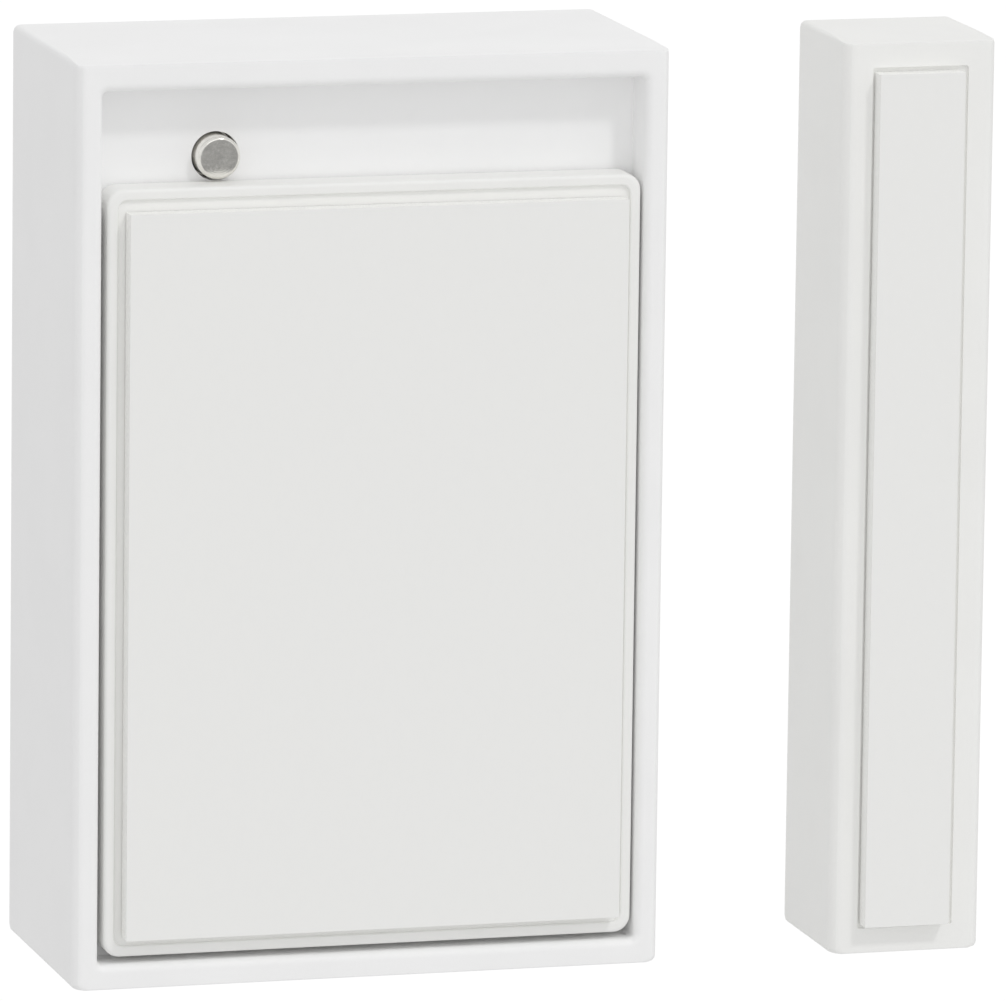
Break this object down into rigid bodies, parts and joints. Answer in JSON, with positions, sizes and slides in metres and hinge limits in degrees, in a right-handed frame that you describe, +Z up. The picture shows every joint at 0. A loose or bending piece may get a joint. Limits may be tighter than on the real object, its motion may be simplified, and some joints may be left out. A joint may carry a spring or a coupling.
{
  "type": "door contact sensor",
  "caption": "Wireless door contact sensor: a boxy sensor on a recessed adhesive wall plate, with a metal rear button, beside a slim bar magnet unit.",
  "frame": {"origin": "on the wall plane, on the adhesive face of the sensor's pad, at the centre of the sensor's outline", "axes": "+X to the right seen from the wall, towards the magnet unit; +Y out of the wall into the room; +Z up"},
  "size_m": [0.0657, 0.0212, 0.0647],
  "materials": {
    "housing_plastic": "fine matt white",
    "plate_plastic": "fine matt warm white",
    "magnet_unit_plastic": "fine matt warm white",
    "adhesive_foam": "paper-backed white foam tape",
    "spacer_foam": "open-cell grey foam",
    "clear_plastic": "clear moulded",
    "board_laminate": "green solder mask",
    "black_plastic": "moulded black",
    "cell_steel": "plated steel",
    "gold_plate": "thin gold plating",
    "spring_steel": "bright spring steel",
    "screw_steel": "zinc plated",
    "nickel": "satin turned nickel",
    "reed_glass": "sealed glass tube",
    "ceramic": "off-white ceramic",
    "capacitor_sleeve": "dark sleeve",
    "ferrite": "sintered dark grey"
  },
  "bodies": {
    "wall_plate": {"mounting_plate": "plate_plastic", "sensor_pad": "adhesive_foam"},
    "sensor": {"sensor_housing": "housing_plastic", "front_cover": "housing_plastic", "light_guide": "clear_plastic", "circuit_board": "board_laminate", "battery_holder": "black_plastic", "coin_cell": "cell_steel", "lower_contact": "gold_plate", "upper_contact": "spring_steel", "reed_capsule": "reed_glass", "reed_lead_upper": "gold_plate", "reed_lead_lower": "gold_plate", "radio_shield": "spring_steel", "chip_antenna": "ceramic", "controller_chip": "black_plastic", "status_led": "clear_plastic", "buffer_capacitor": "capacitor_sleeve", "switch_body": "black_plastic", "board_screw_1": "screw_steel", "board_screw_2": "screw_steel", "board_screw_3": "screw_steel", "board_screw_4": "screw_steel", "button_spring": "spring_steel"},
    "button": {"rear_button": "nickel"},
    "plunger": {"switch_plunger": "ceramic"},
    "magnet": {"magnet_housing": "magnet_unit_plastic", "magnet_cover": "magnet_unit_plastic", "bar_magnet": "ferrite", "magnet_spacer": "spacer_foam", "magnet_pad": "adhesive_foam"}
  },
  "joints": [
    {"name": "sensor_lift_off", "type": "slide", "parent": "wall_plate", "child": "sensor", "axis": [0, 1, 0], "range_m": [0, 0.008]},
    {"name": "button_press", "type": "slide", "parent": "sensor", "child": "button", "axis": [0, 1, 0], "range_m": [0, 0.0008], "stiffness_N_per_m": 600, "springref_m": -0.0008, "deforming": ["button_spring"]},
    {"name": "plunger_press", "type": "slide", "parent": "sensor", "child": "plunger", "axis": [0, 1, 0], "range_m": [0, 0.0008]},
    {"name": "magnet_slide", "type": "slide", "parent": "wall_plate", "child": "magnet", "axis": [1, 0, 0], "range_m": [-0.01, 0.04]}
  ],
  "couplings": [
    {"joint": "plunger_press", "follows": "button_press", "ratio": 1}
  ]
}
